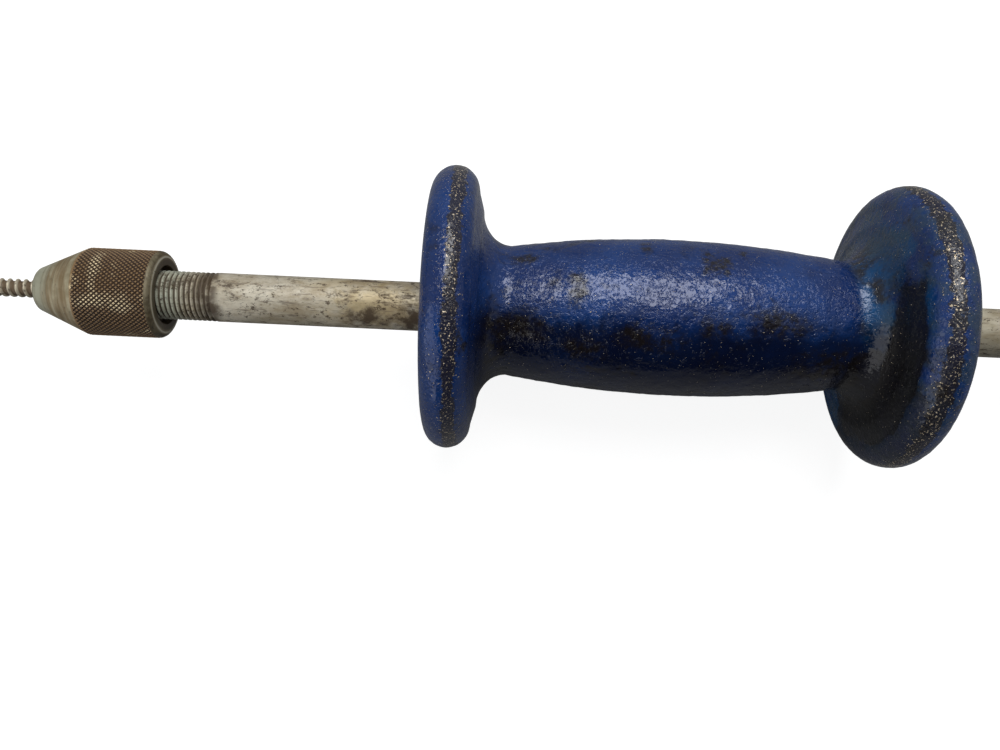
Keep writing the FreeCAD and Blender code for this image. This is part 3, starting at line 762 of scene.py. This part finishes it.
def bare_steel():
    """The nose: turned steel, with old brown grime in the knurl. wear is over 1 off the knurl."""
    finish = Finish("bare_steel")
    along = finish.along()
    out = finish.out()
    wear = finish.attribute("wear")
    off_knurl = finish.rise(wear, 1.05, 1.4)
    rings = finish.noise(2600, 2, stretch=(1, 0.02, 0.02))
    wide_rings = finish.noise(500, 3, stretch=(1, 0.12, 0.12), shift=3.4)
    cloud = finish.noise(260, 5, 0.6)
    turned = finish.mix(finish.rise(cloud, 0.35, 0.65), tint(150, 139, 110), tint(182, 172, 144))
    tip = finish.rise(along, 7 * MM, 2 * MM)
    turned = finish.mix(finish.times(tip, 0.6), turned, tint(172, 176, 158))
    tan = finish.times(finish.rise(wide_rings, 0.42, 0.58), finish.rise(along, 2 * MM, 6 * MM))
    turned = finish.mix(finish.times(tan, 0.75), turned, tint(130, 106, 70))
    cuts = finish.times(finish.rise(rings, 0.5, 0.62), 0.35)
    turned = finish.mix(cuts, turned, tint(104, 92, 70))
    pits = finish.rise(finish.noise(700, 5, 0.7, stretch=(1.6, 1, 1), shift=1.1), 0.6, 0.68)
    # Painted shade: within about 9 mm of the axis and behind 28 to 30 mm along, the counterbore,
    # its mouth and the bore's thread are darkened towards brown.
    near_bore = finish.rise(out, 9.6 * MM, 8.9 * MM)
    recess = finish.times(near_bore, finish.rise(along, 28 * MM, 30 * MM))
    rim_noise = finish.rise(finish.noise(330, 5, 0.65, shift=4.4), 0.4, 0.62)
    rear_face = finish.rise(along, 31.9 * MM, 32.4 * MM)
    rim_stain = finish.times(rear_face, finish.rise(out, 9.6 * MM, 9.3 * MM))
    rim_stain = finish.times(rim_stain, finish.blend(rim_noise, 0.5, 1.0))
    behind_knurl = finish.rise(along, 30.9 * MM, 31.1 * MM)
    corner = finish.times(behind_knurl, finish.rise(out, 10.1 * MM, 10.4 * MM))
    corner = finish.times(corner, finish.blend(rim_noise, 0.5, 0.9))
    turned = finish.mix(corner, turned, tint(84, 74, 54))
    # Painted highlight: a thin near-white ring about 9.6 to 10 mm out, near the rear end.
    edge = finish.window(out, 9.6 * MM, 10.0 * MM, 0.15 * MM)
    edge = finish.times(finish.rise(along, 31.6 * MM, 31.9 * MM), edge)
    turned = finish.mix(finish.times(edge, 0.8), turned, tint(222, 216, 198))
    # pits and the rim's stain are real dark marks; the recess part is painted shade
    dark = finish.largest(
        finish.times(pits, 0.7), finish.times(recess, 0.85), finish.times(rim_stain, 0.75),
    )
    turned = finish.mix(dark, turned, tint(66, 54, 38))

    rubbed = finish.largest(
        finish.rise(finish.noise(190, 5, 0.6, shift=2.2), 0.56, 0.7),
        finish.patch((18.5 * MM, -4.5 * MM, 10.4 * MM), (5 * MM, 2 * MM, 2 * MM), 0.5, 2.1),
        finish.patch((25 * MM, -5 * MM, 10 * MM), (3.4 * MM, 2.4 * MM, 2.4 * MM), 0.5, 2.2),
        finish.patch((18 * MM, 4.5 * MM, 10.4 * MM), (1.6 * MM, 6 * MM, 4 * MM), 0.5, 2.3),
    )
    crest = finish.mix(rubbed, tint(142, 113, 76), tint(238, 218, 176))
    groove = finish.mix(finish.noise(300, 3), tint(40, 26, 15), tint(74, 52, 32))
    knurl = finish.mix(finish.rise(wear, 0.5, 0.98), groove, crest)
    colour = finish.mix(off_knurl, knurl, turned)
    on_crest = finish.times(finish.rise(wear, 0.6, 1), finish.blend(rubbed, 0.2, 0.6))
    metallic = finish.blend(off_knurl, on_crest, finish.blend(dark, 0.4, 0.05))
    rough = finish.blend(off_knurl, finish.blend(wear, 0.75, 0.45), finish.blend(cloud, 0.42, 0.6))
    ridges = finish.times(rings, finish.times(off_knurl, 0.6))
    normal = finish.bump(finish.math("ADD", ridges, finish.noise(900, 3)), 0.04 * MM)
    normal = finish.bump(finish.times(pits, off_knurl), -0.04 * MM, under=normal)
    return finish.dress(colour, rough, metallic, normal)


def screw_steel():
    finish = Finish("screw_steel")
    wear = finish.attribute("wear")
    cloud = finish.noise(500, 4)
    crest = finish.mix(cloud, tint(182, 170, 146), tint(224, 214, 192))
    colour = finish.mix(finish.rise(wear, 0.05, 0.7), tint(104, 86, 64), crest)
    spots = finish.rise(finish.noise(700, 5, 0.65, shift=0.4), 0.56, 0.66)
    colour = finish.mix(finish.times(spots, 0.75), colour, tint(66, 50, 36))
    metallic = finish.blend(wear, 0.15, 0.5)
    rough = finish.blend(cloud, 0.35, 0.6)
    return finish.dress(colour, rough, metallic, finish.bump(cloud, 0.04 * MM))


def zinc_plate():
    finish = Finish("zinc_plate")
    cloud = finish.noise(160, 5, 0.6)
    colour = finish.mix(finish.rise(cloud, 0.3, 0.7), tint(156, 153, 143), tint(204, 202, 192))
    film = finish.rise(finish.noise(110, 6, 0.7, shift=3.6), 0.42, 0.68)
    colour = finish.mix(finish.times(film, 0.5), colour, tint(128, 116, 90))
    dirt = finish.largest(
        finish.rise(finish.noise(300, 6, 0.68, shift=1.3), 0.56, 0.66),
        finish.rise(finish.noise(900, 4, 0.7, shift=5.1), 0.6, 0.66),
    )
    colour = finish.mix(finish.times(dirt, 0.75), colour, tint(70, 54, 36))
    rough = finish.blend(dirt, finish.blend(cloud, 0.3, 0.46), 0.7)
    scuffs = finish.noise(1400, 2, stretch=(0.06, 1, 1))
    normal = finish.bump(finish.math("ADD", finish.noise(900, 4), scuffs), 0.025 * MM)
    return finish.dress(colour, rough, finish.blend(dirt, 0.6, 0.1), normal)


def spring_steel():
    finish = Finish("spring_steel")
    cloud = finish.noise(300, 4)
    colour = finish.mix(cloud, tint(70, 68, 66), tint(104, 100, 96))
    rust = finish.rise(finish.noise(420, 5, 0.65, shift=2.4), 0.58, 0.7)
    colour = finish.mix(rust, colour, tint(92, 58, 34))
    rough = finish.blend(rust, 0.4, 0.75)
    metallic = finish.blend(rust, 0.8, 0.1)
    return finish.dress(colour, rough, metallic, finish.bump(cloud, 0.02 * MM))


def black_rubber():
    finish = Finish("black_rubber")
    cloud = finish.noise(120, 5, 0.6)
    colour = finish.mix(cloud, tint(26, 26, 27), tint(44, 43, 42))
    in_grooves = finish.rise(finish.out(), 15.6 * MM, 14.4 * MM)
    dust = finish.times(in_grooves, finish.rise(finish.noise(240, 4, shift=0.8), 0.35, 0.6))
    colour = finish.mix(finish.times(dust, 0.5), colour, tint(92, 84, 72))
    grain = finish.noise(2400, 2)
    return finish.dress(colour, finish.blend(cloud, 0.5, 0.68), None, finish.bump(grain, 0.04 * MM))


def make_fittings():
    """The rear fittings. The collar, tube, pin and split washer keep their CAD shapes."""
    zinc, spring = zinc_plate(), spring_steel()
    make_washer("washer_front", "front_grip_washer", zinc)
    make_washer("washer_rear", "rear_grip_washer", zinc)
    make_end_nut(zinc)
    make_sleeve(black_rubber())
    finishes = {"stop_collar": zinc, "grip_tube": zinc, "stop_pin": spring, "lock_washer": spring}
    for node, material in finishes.items():
        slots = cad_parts[node].data.materials
        slots.clear()
        slots.append(material)


# ---------------------------------------------------------------- camera, floor and light

CAMERA_LENS = 29.74
CAMERA_DISTANCE = 215.8 * MM
CAMERA_ALONG = WEIGHT_MIDDLE - 43.7 * MM
CAMERA_ELEVATION = math.radians(78)
CAMERA_DIP = 0.078
CAMERA_ROLL = 0.0465


def make_camera():
    """Close above the rod, looking a little to the near side of it, with a slight roll."""
    data = bpy.data.cameras.new("camera")
    data.lens = CAMERA_LENS
    data.sensor_width = 36
    data.clip_start = 0.01
    camera = bpy.data.objects.new("camera", data)
    bpy.context.scene.collection.objects.link(camera)
    back = Vector((0, -math.cos(CAMERA_ELEVATION), math.sin(CAMERA_ELEVATION)))
    up = Vector((0, math.sin(CAMERA_ELEVATION), math.cos(CAMERA_ELEVATION)))
    camera.location = Vector((CAMERA_ALONG, 0, 0)) + back * CAMERA_DISTANCE
    dipped_back = back * math.cos(CAMERA_DIP) + up * math.sin(CAMERA_DIP)
    dipped_up = up * math.cos(CAMERA_DIP) - back * math.sin(CAMERA_DIP)
    right = Vector((1, 0, 0))
    rolled_right = right * math.cos(CAMERA_ROLL) + dipped_up * math.sin(CAMERA_ROLL)
    rolled_up = dipped_up * math.cos(CAMERA_ROLL) - right * math.sin(CAMERA_ROLL)
    turn = Matrix((rolled_right, rolled_up, dipped_back)).transposed()
    camera.rotation_euler = turn.to_euler()
    bpy.context.scene.camera = camera


def floor_paper():
    """White paper, which throws less light back on the object than the eye sees in it."""
    material = bpy.data.materials.new("floor_paper")
    material.use_nodes = True
    tree = material.node_tree
    tree.nodes.remove(tree.nodes["Principled BSDF"])
    paper = tree.nodes.new("ShaderNodeBsdfDiffuse")
    paper.inputs["Color"].default_value = (0.3, 0.3, 0.3, 1)
    glow = tree.nodes.new("ShaderNodeEmission")
    glow.inputs["Strength"].default_value = 0.88
    seen = tree.nodes.new("ShaderNodeAddShader")
    tree.links.new(paper.outputs[0], seen.inputs[0])
    tree.links.new(glow.outputs[0], seen.inputs[1])
    bounced = tree.nodes.new("ShaderNodeBsdfDiffuse")
    bounced.inputs["Color"].default_value = (0.24, 0.24, 0.24, 1)
    path = tree.nodes.new("ShaderNodeLightPath")
    mix = tree.nodes.new("ShaderNodeMixShader")
    tree.links.new(path.outputs["Is Camera Ray"], mix.inputs[0])
    tree.links.new(bounced.outputs[0], mix.inputs[1])
    tree.links.new(seen.outputs[0], mix.inputs[2])
    tree.links.new(mix.outputs[0], tree.nodes["Material Output"].inputs["Surface"])
    return material


def make_floor():
    size = 6
    mesh = bpy.data.meshes.new("floor")
    corners = [(-size, -size), (size, -size), (size, size), (-size, size)]
    mesh.from_pydata([(x, y, FLOOR_HEIGHT - 0.0002) for x, y in corners], [], [(0, 1, 2, 3)])
    mesh.materials.append(floor_paper())
    floor = bpy.data.objects.new("floor", mesh)
    bpy.context.scene.collection.objects.link(floor)


def make_light(name, place, aim, size, power):
    data = bpy.data.lights.new(name, "AREA")
    data.shape = "RECTANGLE"
    data.size, data.size_y = size
    data.energy = power
    light = bpy.data.objects.new(name, data)
    light.location = place
    light.rotation_euler = (Vector(aim) - Vector(place)).to_track_quat("-Z", "Y").to_euler()
    bpy.context.scene.collection.objects.link(light)


def make_world():
    """A soft room: bright above and behind the object, dark on the near side."""
    world = bpy.data.worlds.new("studio")
    world.use_nodes = True
    tree = world.node_tree
    direction = tree.nodes.new("ShaderNodeTexCoord").outputs["Generated"]
    split = tree.nodes.new("ShaderNodeSeparateXYZ")
    tree.links.new(direction, split.inputs[0])
    ramp = tree.nodes.new("ShaderNodeMapRange")
    ramp.interpolation_type = "SMOOTHSTEP"
    tree.links.new(split.outputs["Y"], ramp.inputs["Value"])
    levels = {"From Min": -0.38, "From Max": -0.14, "To Min": 0.02, "To Max": 0.4}
    for socket, value in levels.items():
        ramp.inputs[socket].default_value = value
    room = tree.nodes["Background"]
    room.inputs["Color"].default_value = (0.94, 0.97, 1, 1)
    tree.links.new(ramp.outputs[0], room.inputs["Strength"])
    backdrop = tree.nodes.new("ShaderNodeBackground")
    backdrop.inputs["Color"].default_value = (0.95, 0.95, 0.95, 1)
    path = tree.nodes.new("ShaderNodeLightPath")
    seen = tree.nodes.new("ShaderNodeMixShader")
    tree.links.new(path.outputs["Is Camera Ray"], seen.inputs[0])
    tree.links.new(room.outputs[0], seen.inputs[1])
    tree.links.new(backdrop.outputs[0], seen.inputs[2])
    tree.links.new(seen.outputs[0], tree.nodes["World Output"].inputs["Surface"])
    bpy.context.scene.world = world


bpy.context.scene.view_settings.view_transform = "Standard"
make_weight(blue_paint())
make_rod(plated_rod())
make_nose(bare_steel())
screw_finish = screw_steel()
make_screw(screw_finish)
make_screw_head(screw_finish)
make_fittings()
make_camera()
make_floor()
make_light("overhead", (CAMERA_ALONG + 0.1, 0.5, 0.94), (CAMERA_ALONG, 0, 0), (0.56, 0.8), 7.7)
make_light("fill", (CAMERA_ALONG - 0.55, -0.42, 0.2), (CAMERA_ALONG, 0, 0), (0.8, 0.8), 2.1)
make_world()
